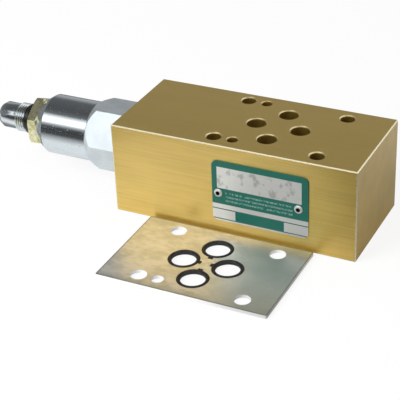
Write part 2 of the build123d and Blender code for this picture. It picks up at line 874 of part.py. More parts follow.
parts = {
    "valve_body": valve_body.part,
    "gallery_plugs": gallery_plugs.part,
    "name_plate": name_plate.part,
    "name_plate_rivets": name_plate_rivets.part,
    "seal_plate": seal_plate.part,
    "port_seal_front": port_seal(tank_port),
    "port_seal_back": port_seal(pressure_port),
    "port_seal_left": port_seal((left_port_x, 0)),
    "port_seal_right": port_seal((right_port_x, 0)),
    "cartridge_body": cartridge_body.part,
    "spring_housing": spring_housing.part,
    "cartridge_sleeve": cartridge_sleeve.part,
    "orifice_disc": orifice_disc.part,
    "retaining_ring": retaining_ring.part,
    "spool": spool.part,
    "spool_spring_seat": spool_spring_seat.part,
    "spring_follower": spring_follower.part,
    "main_spring": main_spring.part,
    "adjusting_screw": adjusting_screw.part,
    "screw_seal": screw_seal.part,
    "stop_ring": stop_ring.part,
    "lock_nut": lock_nut.part,
    "hexagon_seal": hexagon_seal.part,
    "housing_seal": housing_seal.part,
    "inlet_seal": inlet_seal.part,
    "outlet_seal": outlet_seal.part,
    "inlet_backing_ring": inlet_backing_ring.part,
    "outlet_backing_ring": outlet_backing_ring.part,
}

os.makedirs("parts", exist_ok=True)
for name, part in parts.items():
    part.label = name
    export_step(part, f"parts/{name}.step")
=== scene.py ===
"""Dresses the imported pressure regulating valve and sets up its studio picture.

The valve is a gold anodised block with a screw-in spring cartridge. Its seal plate lies in front of it.
Lengths are in metres in the part's own frame: +X along the block away from the adjusting screw, +Z up,
-Y towards the name plate. Shader sizes are in millimetres, because the patterns are that small.
"""

import json
import logging
import math
from dataclasses import dataclass, field
from enum import Enum

import bmesh
import bpy
from mathutils import Matrix, Vector

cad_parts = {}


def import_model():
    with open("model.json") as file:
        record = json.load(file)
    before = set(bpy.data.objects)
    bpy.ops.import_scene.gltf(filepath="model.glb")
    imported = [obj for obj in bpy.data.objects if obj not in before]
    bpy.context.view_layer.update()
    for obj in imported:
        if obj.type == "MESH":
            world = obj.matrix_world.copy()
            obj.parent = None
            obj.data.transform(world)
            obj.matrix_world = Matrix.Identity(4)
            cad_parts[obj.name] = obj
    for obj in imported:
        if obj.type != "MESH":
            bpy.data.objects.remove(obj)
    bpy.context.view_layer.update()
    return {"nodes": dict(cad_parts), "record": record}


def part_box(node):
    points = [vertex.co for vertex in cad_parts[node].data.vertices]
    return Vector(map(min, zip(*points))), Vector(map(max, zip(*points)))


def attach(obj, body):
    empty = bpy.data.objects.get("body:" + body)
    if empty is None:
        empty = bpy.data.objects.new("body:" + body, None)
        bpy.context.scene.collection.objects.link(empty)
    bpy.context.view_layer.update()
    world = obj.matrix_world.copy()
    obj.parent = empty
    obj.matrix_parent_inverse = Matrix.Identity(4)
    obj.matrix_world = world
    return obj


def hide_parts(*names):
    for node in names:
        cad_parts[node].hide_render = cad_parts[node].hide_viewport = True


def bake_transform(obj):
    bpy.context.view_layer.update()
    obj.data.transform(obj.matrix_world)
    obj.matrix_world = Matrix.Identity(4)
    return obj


LOG = logging.getLogger("valve")
MM = 0.001
PER_METRE = 1000.0

Colour = tuple[float, float, float]


# Shader expressions


@dataclass(frozen=True)
class Term:
    """One output socket, so that shader maths reads as arithmetic."""

    maker: "NodeMaker"
    socket: bpy.types.NodeSocket

    def _with(self, operation: str, first: "Term | float", second: "Term | float") -> "Term":
        """Joins two values by one Math node."""
        return self.maker.math(operation, first, second)

    def __add__(self, other: "Term | float") -> "Term":
        """Sum."""
        return self._with("ADD", self, other)

    def __radd__(self, other: float) -> "Term":
        """Sum, number first."""
        return self._with("ADD", other, self)

    def __sub__(self, other: "Term | float") -> "Term":
        """Difference."""
        return self._with("SUBTRACT", self, other)

    def __rsub__(self, other: float) -> "Term":
        """Difference, number first."""
        return self._with("SUBTRACT", other, self)

    def __mul__(self, other: "Term | float") -> "Term":
        """Product."""
        return self._with("MULTIPLY", self, other)

    def __rmul__(self, other: float) -> "Term":
        """Product, number first."""
        return self._with("MULTIPLY", other, self)

    def __truediv__(self, other: "Term | float") -> "Term":
        """Quotient."""
        return self._with("DIVIDE", self, other)


class NodeMaker:
    """Adds nodes to one shader or world tree."""

    def __init__(self, tree: bpy.types.NodeTree) -> None:
        """Keeps the tree that the nodes go into."""
        self.tree = tree

    def node(
        self,
        kind: str,
        settings: dict[str, object] | None = None,
        inputs: dict[str | int, object] | None = None,
    ) -> bpy.types.Node:
        """Adds one node.

        Args:
            kind: the node's type.
            settings: its options, set first; "stops" gives a ramp's (place, colour) pairs.
            inputs: socket name or number to a value or a Term.

        Returns:
            The new node.
        """
        node = self.tree.nodes.new(kind)
        for name, value in (settings or {}).items():
            if name == "stops":
                self._fill_ramp(node.color_ramp, value)
            else:
                setattr(node, name, value)
        for name, value in (inputs or {}).items():
            if isinstance(value, Term):
                self.tree.links.new(value.socket, node.inputs[name])
            else:
                node.inputs[name].default_value = value
        return node

    @staticmethod
    def _fill_ramp(ramp: bpy.types.ColorRamp, stops: tuple[tuple[float, float], ...]) -> None:
        """Writes a grey ramp's (place, level) stops."""
        while len(ramp.elements) < len(stops):
            ramp.elements.new(1.0)
        for element, (place, level) in zip(ramp.elements, stops):
            element.position = place
            element.color = (level, level, level, 1.0)

    def term(self, node: bpy.types.Node, output: str | int = 0) -> Term:
        """Wraps one output of a node."""
        return Term(self, node.outputs[output])

    def math(
        self, operation: str, first: Term | float, second: Term | float = 0.0, clamp: bool = False
    ) -> Term:
        """Adds a Math node.

        Args:
            operation: the Math node's operation.
            first: its first value.
            second: its second value, if it takes one.
            clamp: whether the result is kept between 0 and 1.

        Returns:
            The result.
        """
        made = self.node(
            "ShaderNodeMath", {"operation": operation, "use_clamp": clamp}, {0: first, 1: second}
        )
        return self.term(made)

    def smooth(self, value: Term, low: float, high: float) -> Term:
        """Runs from 0 at low to 1 at high, with soft ends; low may be the larger."""
        made = self.node(
            "ShaderNodeMapRange",
            {"interpolation_type": "SMOOTHSTEP"},
            {"Value": value, "From Min": low, "From Max": high, "To Min": 0.0, "To Max": 1.0},
        )
        return self.term(made)

    def band(self, value: Term, low: float, high: float, soft: float) -> Term:
        """Is 1 between low and high, with edges that are soft over the given width."""
        rise = self.smooth(value, low - soft / 2, low + soft / 2)
        fall = self.smooth(value, high + soft / 2, high - soft / 2)
        return rise * fall

    def blend(self, factor: Term | float, first: object, second: object) -> Term:
        """Mixes two colours, each an (r, g, b) or a Term."""
        inputs = {0: factor}
        for number, colour in ((6, first), (7, second)):
            inputs[number] = colour if isinstance(colour, Term) else (*colour, 1.0)
        made = self.node("ShaderNodeMix", {"data_type": "RGBA"}, inputs)
        return self.term(made, 2)

    def graded(self, value: Term, reach: float, stops: tuple[tuple[float, float], ...]) -> Term:
        """A grey that follows a value.

        Args:
            value: what the grey follows.
            reach: the value at which the last place, 1, lies.
            stops: (place, level) pairs, the places from 0 to 1.

        Returns:
            The grey.
        """
        made = self.node("ShaderNodeValToRGB", {"stops": stops}, {"Fac": value / reach})
        return self.term(made)

    def object_place(self) -> Term:
        """The surface point in the part's frame, in millimetres."""
        coordinates = self.node("ShaderNodeTexCoord")
        scaled = self.node(
            "ShaderNodeVectorMath",
            {"operation": "SCALE"},
            {0: self.term(coordinates, "Object"), "Scale": PER_METRE},
        )
        return self.term(scaled)

    def stretched(self, place: Term, scale: Colour) -> Term:
        """Scales a place along each axis, for grain that runs one way."""
        made = self.node(
            "ShaderNodeVectorMath", {"operation": "MULTIPLY"}, {0: place, 1: scale}
        )
        return self.term(made)

    def noise(self, place: Term, scale: float, detail: float = 3.0, rough: float = 0.5) -> Term:
        """Noise from 0 to 1 over a place."""
        made = self.node(
            "ShaderNodeTexNoise",
            None,
            {"Vector": place, "Scale": scale, "Detail": detail, "Roughness": rough},
        )
        return self.term(made, "Fac")

    def split(self, vector: Term) -> tuple[Term, Term, Term]:
        """The x, y and z of a vector."""
        made = self.node("ShaderNodeSeparateXYZ", None, {0: vector})
        return self.term(made, 0), self.term(made, 1), self.term(made, 2)

    def bump(self, height: Term, strength: float, distance: float) -> Term:
        """A normal from a height pattern, its depth in metres."""
        made = self.node(
            "ShaderNodeBump", None, {"Height": height, "Strength": strength, "Distance": distance}
        )
        return self.term(made)


# Finishes


@dataclass(frozen=True)
class Finish:
    """A surface finish: what every material here is made from."""

    name: str
    colour: Colour
    metallic: float
    roughness: float
    coat: float = 0.0

    def material(self) -> bpy.types.Material:
        """Builds the material, with the pattern that the finish's own class gives it."""
        material = bpy.data.materials.new(self.name)
        material.use_nodes = True
        material.node_tree.nodes.clear()
        maker = NodeMaker(material.node_tree)
        shader = maker.node(
            "ShaderNodeBsdfPrincipled",
            None,
            {
                "Base Color": (*self.colour, 1.0),
                "Metallic": self.metallic,
                "Roughness": self.roughness,
                "Coat Weight": self.coat,
                "Coat Roughness": 0.3,
                "Coat IOR": 1.9,
            },
        )
        for socket, term in self.pattern(maker).items():
            maker.tree.links.new(term.socket, shader.inputs[socket])
        maker.node("ShaderNodeOutputMaterial", None, {"Surface": maker.term(shader)})
        return material

    def pattern(self, maker: NodeMaker) -> dict[str, Term]:
        """What varies over the surface, by shader socket.

        Args:
            maker: adds the nodes.

        Returns:
            The varying values.
        """
        place = maker.object_place()
        cloud = maker.noise(place, 0.35)
        dark = tuple(0.88 * part for part in self.colour)
        return {
            "Base Color": maker.blend(cloud, dark, self.colour),
            "Roughness": self.roughness + 0.08 * (cloud - 0.5),
        }


@dataclass(frozen=True)
class AnodisedFinish(Finish):
    """Dyed anodised aluminium over fine machining lines."""

    shade: Colour = (0.6, 0.4, 0.1)
    # Painted highlight: the pale colour given to the chamfers.
    cut: Colour = (1.0, 0.90, 0.60)
    # Painted shade: the dark colour of the bore walls.
    bore: Colour = (0.24, 0.14, 0.03)
    reach_x: tuple[float, float] = (-59.7, 37.2)
    half_width: float = 21.75
    reach_z: tuple[float, float] = (0.7, 36.3)
    line_pitch: float = 0.45
    line_depth: float = 0.004 * MM

    def pattern(self, maker: NodeMaker) -> dict[str, Term]:
        """Long milling lines along the block, upright ones on its ends, chamfers painted paler as a
        highlight, and painted shade in the bores.

        Args:
            maker: adds the nodes.

        Returns:
            Colour, roughness and normal.
        """
        place = maker.object_place()
        along = maker.noise(maker.stretched(place, (0.02, 1.0, 1.0)), 1 / self.line_pitch, 4.0, 0.6)
        upright = maker.noise(maker.stretched(place, (1.0, 1.0, 0.02)), 1 / self.line_pitch, 4.0, 0.6)
        facing = maker.node("ShaderNodeTexCoord")
        slants = [maker.math("ABSOLUTE", part) for part in maker.split(maker.term(facing, "Normal"))]
        on_end = maker.smooth(slants[0], 0.6, 0.8)
        sloping = maker.band(slants[2], 0.4, 0.9, 0.1)
        x, y, z = maker.split(place)
        within = maker.smooth(maker.math("ABSOLUTE", y), self.half_width - 0.5, self.half_width - 0.7)
        upright_edge = (1.0 - within) * maker.band(slants[1], 0.4, 0.9, 0.1)
        inner = within * maker.band(x, *self.reach_x, 0.2)
        # Painted shade: the walls of the bores inside the block are darkened.
        shaded_bore = inner * maker.band(z, *self.reach_z, 0.2)
        # Painted highlight: the chamfers are painted paler, and the bore rims more faintly.
        chamfer_highlight = maker.math("MAXIMUM", sloping * (1.0 - 0.45 * inner), upright_edge)
        lines = along * (1.0 - on_end) + upright * on_end
        sweep = maker.noise(maker.stretched(place, (0.03, 0.12, 0.12)), 1.0, 2.0)
        plain = 0.6 * maker.smooth(slants[2], 0.8, 0.95)
        tone = maker.smooth(lines * 0.65 + sweep * 0.35, 0.25, 0.68) * (1.0 - plain) + 0.6 * plain
        skin = maker.blend(tone, self.shade, self.colour)
        return {
            "Base Color": maker.blend(
                shaded_bore * 0.65, maker.blend(chamfer_highlight, skin, self.cut), self.bore
            ),
            "Roughness": self.roughness + 0.2 * (lines - 0.5) - 0.16 * chamfer_highlight,
            "Normal": maker.bump(lines, 0.35, self.line_depth),
        }


@dataclass(frozen=True)
class TurnedFinish(Finish):
    """Metal turned on a lathe: rings round the cartridge's axis, and handling marks."""

    ring_pitch: float = 0.12
    ring_depth: float = 0.001 * MM
    mark_strength: float = 0.2

    def pattern(self, maker: NodeMaker) -> dict[str, Term]:
        """Fine rings, small scuffs and a slow cloud.

        Args:
            maker: adds the nodes.

        Returns:
            Colour, roughness and normal.
        """
        place = maker.object_place()
        rings = maker.noise(maker.stretched(place, (1.0, 0.01, 0.01)), 1 / self.ring_pitch, 2.0)
        scuffs = maker.smooth(maker.noise(maker.stretched(place, (0.5, 1.0, 1.0)), 1.3, 4.0), 0.6, 0.68)
        cloud = maker.noise(place, 0.18)
        worn = tuple(0.86 * part for part in self.colour)
        return {
            "Base Color": maker.blend(scuffs * self.mark_strength + 0.3 * cloud, self.colour, worn),
            "Roughness": self.roughness + 0.05 * (cloud - 0.5) + self.mark_strength * scuffs,
            "Normal": maker.bump(rings + scuffs * self.mark_strength, 0.3, self.ring_depth),
        }


@dataclass(frozen=True)
class ThreadedFinish(Finish):
    """A rolled thread: bright crests, and oil, dirt and painted shade down in its roots."""

    axis_height: float = 20.0
    root: float = 5.25
    crest: float = 5.65
    # Dirt and painted shade: the near-black colour of the roots.
    dirt: Colour = (0.05, 0.055, 0.06)

    def pattern(self, maker: NodeMaker) -> dict[str, Term]:
        """Darkens from the crest to the root, with a little grain.

        Args:
            maker: adds the nodes.

        Returns:
            Colour and roughness.
        """
        place = maker.object_place()
        _, y, z = maker.split(place)
        up = z - self.axis_height
        radius = maker.math("SQRT", y * y + up * up)
        grain = maker.noise(place, 2.0, 3.0, 0.6)
        # Painted shade and dirt: darker from the crest down to the root.
        clean_and_lit = maker.smooth(radius + 0.2 * (grain - 0.5), self.root, self.crest)
        return {
            "Base Color": maker.blend(clean_and_lit, self.dirt, self.colour),
            "Roughness": self.roughness + 0.3 * (1.0 - clean_and_lit) + 0.1 * (grain - 0.5),
        }


@dataclass(frozen=True)
class CloudyFinish(Finish):
    """Plated or passivated metal with a blotchy sheen."""

    shade: Colour = (0.5, 0.5, 0.5)
    blotch: float = 8.0
    depth: float = 0.003 * MM

    def pattern(self, maker: NodeMaker) -> dict[str, Term]:
        """Blotches of a second tone, with a fine grain over them.

        Args:
            maker: adds the nodes.

        Returns:
            Colour, roughness and normal.
        """
        place = maker.object_place()
        blotches = maker.noise(place, 1 / self.blotch, 4.0, 0.6)
        grain = maker.noise(place, 3.0, 3.0, 0.6)
        tone = maker.smooth(blotches, 0.35, 0.65)
        return {
            "Base Color": maker.blend(tone, self.shade, self.colour),
            "Roughness": self.roughness + 0.16 * (blotches - 0.5) + 0.05 * (grain - 0.5),
            "Normal": maker.bump(grain, 0.25, self.depth),
        }


@dataclass(frozen=True)
class RolledFinish(Finish):
    """Thin rolled sheet with bright zinc: waves, rolling lines, mottling, and a painted reflection at
    one end.
    """

    shade: Colour = (0.5, 0.5, 0.45)
    # Painted reflection: the darker grey-green of the right end, also used towards the front edge.
    stain: Colour = (0.38, 0.44, 0.42)
    sheared: Colour = (0.86, 0.86, 0.85)
    # The dark tone along the plate's rim.
    grime: Colour = (0.09, 0.09, 0.08)
    middle: tuple[float, float] = (-11.1, -44.6)
    half_size: tuple[float, float] = (33.35, 21.5)
    stained_x: tuple[float, float] = (-9.0, 16.0)
    front_y: tuple[float, float] = (-62.0, -66.0)
    wave_depth: float = 0.02 * MM

    def pattern(self, maker: NodeMaker) -> dict[str, Term]:
        """Rolling lines along X, slow waves, a painted reflection at one end, darker towards the front
        edge and along the rim, and bright sheared edges.

        Args:
            maker: adds the nodes.

        Returns:
            Colour, roughness and normal.
        """
        place = maker.object_place()
        waves = maker.noise(maker.stretched(place, (0.5, 1.0, 1.0)), 0.16, 2.0)
        lines = maker.noise(maker.stretched(place, (0.03, 1.0, 1.0)), 2.2, 3.0, 0.6)
        clouds = maker.noise(maker.stretched(place, (0.7, 1.0, 1.0)), 0.14, 4.0, 0.5)
        x, y, _ = maker.split(place)
        mottle = maker.noise(maker.stretched(place, (0.6, 1.0, 1.0)), 0.5, 5.0, 0.65)
        tone = maker.smooth(0.5 * clouds + 0.5 * mottle, 0.38, 0.62)
        # Painted reflection: the sheet goes darker grey-green towards its right end. The same tone also
        # darkens it towards the front edge.
        reflection_mask = maker.smooth(x + 24.0 * (clouds - 0.5) + 14.0 * (mottle - 0.5), *self.stained_x)
        darkened = maker.math("MAXIMUM", reflection_mask, 0.6 * maker.smooth(y, *self.front_y))
        sheet = maker.blend(
            darkened * 0.8, maker.blend(tone, self.shade, self.colour), self.stain
        )
        # Darker along the plate's rim.
        rim: Term | float = 0.0
        for value, middle, half in zip((x, y), self.middle, self.half_size):
            away = maker.math("ABSOLUTE", value - middle)
            rim = maker.math("MAXIMUM", maker.smooth(away, half - 0.7, half - 0.2), rim)
        facing = maker.node("ShaderNodeTexCoord")
        level = maker.math("ABSOLUTE", maker.split(maker.term(facing, "Normal"))[2])
        flat = maker.smooth(level, 0.3, 0.7)
        return {
            "Base Color": maker.blend(
                flat, self.sheared, maker.blend(rim * 0.6, sheet, self.grime)
            ),
            "Metallic": flat * self.metallic,
            "Roughness": self.roughness + 0.08 * (clouds - 0.5) + 0.03 * (lines - 0.5),
            "Normal": maker.bump(waves, 0.5, self.wave_depth),
        }


@dataclass(frozen=True)
class RubberFinish(Finish):
    """Moulded black rubber, dull, with a trace of dust."""

    dust: Colour = (0.025, 0.025, 0.025)

    def pattern(self, maker: NodeMaker) -> dict[str, Term]:
        """A fine moulded grain with dust in it.

        Args:
            maker: adds the nodes.

        Returns:
            Colour, roughness and normal.
        """
        place = maker.object_place()
        grain = maker.noise(place, 6.0, 3.0, 0.6)
        cloud = maker.smooth(maker.noise(place, 0.8, 4.0), 0.45, 0.75)
        return {
            "Base Color": maker.blend(cloud, self.colour, self.dust),
            "Roughness": self.roughness + 0.1 * (grain - 0.5),
            "Normal": maker.bump(grain, 0.2, 0.01 * MM),
        }


@dataclass(frozen=True)
class HollowRivetFinish(Finish):
    """A bright rivet whose punched hollow is painted near black as shade."""

    spacing: float = 31.8
    height: float = 17.6
    hollow: float = 0.8

    def pattern(self, maker: NodeMaker) -> dict[str, Term]:
        """Painted shade inside the hollow of either rivet, bright outside it.

        Args:
            maker: adds the nodes.

        Returns:
            Colour and roughness.
        """
        place = maker.object_place()
        x, _, z = maker.split(place)
        across = maker.math("ABSOLUTE", x) - self.spacing / 2
        up = z - self.height
        radius = maker.math("SQRT", across * across + up * up)
        inside = maker.smooth(radius, self.hollow + 0.1, self.hollow + 0.02)
        grain = maker.noise(place, 2.5)
        metal = maker.blend(grain, tuple(0.85 * part for part in self.colour), self.colour)
        return {
            # Painted shade: the hollow is near black.
            "Base Color": maker.blend(inside, metal, (0.012, 0.01, 0.01)),
            "Roughness": self.roughness + 0.1 * (grain - 0.5) + 0.4 * inside,
        }


@dataclass(frozen=True)
class LabelFinish(Finish):
    """The name plate's print: green on silver, with bare fields where a maker's words would be.

    Places are in millimetres in the part's frame.
    """

    silver: Colour = (0.88, 0.89, 0.87)
    line: Colour = (0.02, 0.09, 0.09)
    field_x: tuple[float, float] = (-16.3, 17.1)
    # Where the painted highlight fades, from the left of the silver towards the right.
    field_z: tuple[float, float] = (19.75, 28.6)
    dull_x: tuple[float, float] = (-15.0, 2.0)
    band_bottom: float = 13.1
    upper_line_z: float = 11.0
    lower_line_z: float = 6.75
    line_width: float = 0.4
    box_x: tuple[float, float] = (-9.25, 10.2)
    print_rows: tuple[float, ...] = (18.0, 16.4, 14.8)
    print_height: float = 0.75
    print_x: tuple[float, float] = (-13.0, 13.6)

    def pattern(self, maker: NodeMaker) -> dict[str, Term]:
        """The printed layout, brushed silver under it, and grey marks in the upper field.

        Args:
            maker: adds the nodes.

        Returns:
            Colour, metallic, roughness and normal.
        """
        place = maker.object_place()
        x, _, z = maker.split(place)
        edge = 0.12
        upper = maker.band(x, *self.field_x, edge) * maker.band(z, *self.field_z, edge)
        lower = maker.smooth(z, self.band_bottom + edge / 2, self.band_bottom - edge / 2)
        box = maker.band(x, *self.box_x, edge) * maker.band(
            z, self.lower_line_z, self.upper_line_z, edge
        )
        bare = maker.math("MAXIMUM", upper, lower * (1.0 - box))
        rules = maker.band(
            z, self.upper_line_z - self.line_width / 2, self.upper_line_z + self.line_width / 2, edge
        ) + maker.band(
            z, self.lower_line_z - self.line_width / 2, self.lower_line_z + self.line_width / 2, edge
        )
        brushed = maker.noise(maker.stretched(place, (0.05, 1.0, 1.0)), 3.0, 3.0, 0.6)
        marks = maker.smooth(maker.noise(maker.stretched(place, (1.0, 1.0, 0.8)), 0.42, 3.0), 0.5, 0.68)
        worn = tuple(0.55 * part for part in self.silver)
        # Painted highlight: over the brushed grain, the silver is brightest at the left and darker to
        # the right.
        grain_and_shade = 0.25 * brushed + 0.35 * maker.smooth(x, *self.dull_x)
        metal = maker.blend(marks * upper * 0.65 + grain_and_shade, self.silver, worn)
        printed = maker.blend(bare, self._printed(maker, place, x, z), metal)
        shown = bare * (1.0 - maker.math("MINIMUM", rules, 1.0))
        return {
            "Base Color": maker.blend(rules * bare, printed, self.line),
            "Metallic": shown * 0.6,
            "Roughness": self.roughness + 0.08 * (brushed - 0.5) + 0.05 * shown,
            "Normal": maker.bump(brushed * bare + 0.6 * (1.0 - bare), 0.25, 0.004 * MM),
        }

    def _printed(self, maker: NodeMaker, place: Term, x: Term, z: Term) -> Term:
        """The green print, with rows of fine pale strokes that spell nothing.

        Args:
            maker: adds the nodes.
            place: the surface point.
            x: its place along the plate.
            z: its height.

        Returns:
            The colour.
        """
        strokes = maker.smooth(
            maker.noise(maker.stretched(place, (3.4, 0.0, 1.2)), 1.0, 2.0, 0.7), 0.47, 0.53
        )
        words = maker.smooth(
            maker.noise(maker.stretched(place, (0.55, 0.0, 0.63)), 1.0, 1.0), 0.36, 0.42
        )
        rows: Term | float = 0.0
        for middle in self.print_rows:
            row = maker.band(z, middle - self.print_height / 2, middle + self.print_height / 2, 0.1)
            rows = row + rows
        inside = maker.band(x, *self.print_x, 0.2)
        return maker.blend(rows * strokes * words * inside * 0.6, self.colour, (0.45, 0.62, 0.55))


class Dress(Enum):
    """The valve's finishes, by the record's material slot."""

    ANODISED_ALUMINIUM = AnodisedFinish(
        "anodised_aluminium", (0.90, 0.63, 0.11), 0.85, 0.44, 1.0, shade=(0.68, 0.46, 0.06)
    )
    PRINTED_ALUMINIUM = LabelFinish("printed_aluminium", (0.004, 0.13, 0.095), 0.0, 0.38)
    ZINC_PLATE = RolledFinish("zinc_plate", (1.0, 0.97, 0.90), 0.76, 0.33, shade=(0.76, 0.74, 0.64))
    MATT_ZINC = CloudyFinish("matt_zinc", (0.74, 0.81, 0.85), 0.8, 0.34, shade=(0.64, 0.70, 0.74))
    POLISHED_ZINC = TurnedFinish("polished_zinc", (0.76, 0.83, 0.87), 1.0, 0.14)
    THREADED_ZINC = ThreadedFinish("threaded_zinc", (0.80, 0.85, 0.88), 1.0, 0.16)
    YELLOW_ZINC = CloudyFinish(
        "yellow_zinc", (1.0, 0.97, 0.70), 0.95, 0.28, shade=(0.68, 0.64, 0.28), blotch=2.2
    )
    BRIGHT_STEEL = HollowRivetFinish("bright_steel", (0.88, 0.87, 0.85), 0.6, 0.35)
    GROUND_STEEL = TurnedFinish("ground_steel", (0.62, 0.63, 0.65), 1.0, 0.24)
    DARK_STEEL = CloudyFinish(
        "dark_steel", (0.12, 0.12, 0.13), 0.8, 0.42, shade=(0.06, 0.06, 0.065), blotch=3.0
    )
    SPRING_STEEL = TurnedFinish("spring_steel", (0.34, 0.34, 0.36), 1.0, 0.32)
    BLACK_RUBBER = RubberFinish("black_rubber", (0.008, 0.008, 0.008), 0.0, 0.45)
    BLACK_RING = RubberFinish("black_ring", (0.012, 0.012, 0.012), 0.0, 0.32)
    WHITE_PLASTIC = CloudyFinish(
        "white_plastic", (0.86, 0.86, 0.83), 0.0, 0.45, shade=(0.78, 0.78, 0.74), blotch=4.0
    )


class Wardrobe:
    """Makes each finish's material once and gives it to the pieces."""

    def __init__(self) -> None:
        """Starts with no material made."""
        self._made: dict[str, bpy.types.Material] = {}

    def material(self, dress: Dress) -> bpy.types.Material:
        """The material of a finish."""
        if dress.name not in self._made:
            self._made[dress.name] = dress.value.material()
        return self._made[dress.name]

    def put(self, piece: bpy.types.Object, dress: Dress) -> None:
        """Gives every face of a piece one finish."""
        if not piece.material_slots:
            piece.data.materials.append(None)
        for place in piece.material_slots:
            place.material = self.material(dress)


# Meshes


@dataclass(frozen=True)
class Turning:
    """A closed shape turned about the cartridge's axis."""

    face: float
    height: float
    segments: int = 96

    def place(self, along: float, radius: float, turn: float) -> Vector:
        """A point of the shape, from millimetres along and out from the axis."""
        return Vector(
            (
                self.face + along * MM,
                radius * MM * math.cos(turn),
                self.height + radius * MM * math.sin(turn),
            )
        )

    def mesh(self, name: str, outline: list[tuple[float, float]]) -> bpy.types.Mesh:
        """Turns an outline that starts and ends on the axis.

        Args:
            name: the mesh's name.
            outline: (along, radius) corners in millimetres.

        Returns:
            The mesh, its faces outward.
        """
        shape = bmesh.new()
        rings: list[list[bmesh.types.BMVert]] = []
        for along, radius in outline:
            if radius == 0:
                rings.append([shape.verts.new(self.place(along, 0, 0))])
                continue
            turns = [2 * math.pi * number / self.segments for number in range(self.segments)]
            rings.append([shape.verts.new(self.place(along, radius, turn)) for turn in turns])
        for first, second in zip(rings, rings[1:]):
            for number in range(self.segments):
                after = (number + 1) % self.segments
                corners = [first[number % len(first)], first[after % len(first)]]
                corners += [second[after % len(second)], second[number % len(second)]]
                kept = list(dict.fromkeys(corners))
                shape.faces.new(kept)
        bmesh.ops.recalc_face_normals(shape, faces=shape.faces)
        mesh = bpy.data.meshes.new(name)
        shape.to_mesh(mesh)
        shape.free()
        return mesh


def linked(name: str, mesh: bpy.types.Mesh) -> bpy.types.Object:
    """Puts a mesh in the scene under a name."""
    made = bpy.data.objects.new(name, mesh)
    bpy.context.scene.collection.objects.link(made)
    return made


def finished(piece: bpy.types.Object) -> bpy.types.Object:
    """Turns a piece with modifiers into a plain mesh object of the same name.

    Args:
        piece: the object whose modifiers are done.

    Returns:
        The plain piece.
    """
    name = piece.name
    evaluated = piece.evaluated_get(bpy.context.evaluated_depsgraph_get())
    mesh = bpy.data.meshes.new_from_object(evaluated)
    bpy.data.objects.remove(piece)
    mesh.name = name
    return linked(name, mesh)


def soften(piece: bpy.types.Object, angle: float = 32.0) -> None:
    """Shades a piece smooth, with edges sharper than the angle in degrees left sharp."""
    piece.data.shade_smooth()
    piece.data.set_sharp_from_angle(angle=math.radians(angle))


# Sub-assemblies


@dataclass
class DressedNodes:
    """The CAD nodes that stay as they are, each with its finish."""

    wardrobe: Wardrobe
    record: dict
    nodes: dict[str, bpy.types.Object]

    def dress(self) -> None:
        """Gives every node the finish that the record's slot names."""
        for row in self.record["subparts"]:
            slot = row["material_slot"]
            dress = Dress[slot.upper()]
            self.wardrobe.put(self.nodes[row["node"]], dress)
            LOG.info("%s wears %s", row["node"], slot)


@dataclass
class MainSpring:
    """The main spring in two halves."""

    wardrobe: Wardrobe
    node: bpy.types.Object

    def build(self) -> None:
        """Cuts the spring at its middle and keeps each half as its own piece."""
        low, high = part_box("main_spring")
        middle = (low + high) / 2
        halves = (("main_spring_inner", "spool", high.x), ("main_spring_outer", "follower", low.x))
        for name, seat, end in halves:
            piece = self._half(name, middle, 1.0 if end > middle.x else -1.0)
            self.wardrobe.put(piece, Dress.SPRING_STEEL)
            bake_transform(piece)
            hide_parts("main_spring")
            LOG.info("%s has %d faces", piece.name, len(piece.data.polygons))

    def _half(self, name: str, middle: Vector, side: float) -> bpy.types.Object:
        """Copies the node, merges its corners and keeps what lies on one side of the middle.

        Args:
            name: the piece's name.
            middle: the place of the cut.
            side: 1 keeps the block's end, -1 the adjuster's end.

        Returns:
            The closed half.
        """
        mesh = self.node.data.copy()
        mesh.name = name
        shape = bmesh.new()
        shape.from_mesh(mesh)
        bmesh.ops.remove_doubles(shape, verts=shape.verts, dist=0.0005 * MM)
        everything = shape.verts[:] + shape.edges[:] + shape.faces[:]
        cut = bmesh.ops.bisect_plane(
            shape,
            geom=everything,
            dist=0.0001 * MM,
            plane_co=middle,
            plane_no=(side, 0.0, 0.0),
            clear_inner=True,
        )
        rim = [part for part in cut["geom_cut"] if isinstance(part, bmesh.types.BMEdge)]
        bmesh.ops.triangle_fill(shape, edges=rim, use_beauty=True)
        bmesh.ops.recalc_face_normals(shape, faces=shape.faces)
        shape.to_mesh(mesh)
        shape.free()
        piece = linked(name, mesh)
        soften(piece)
        return piece


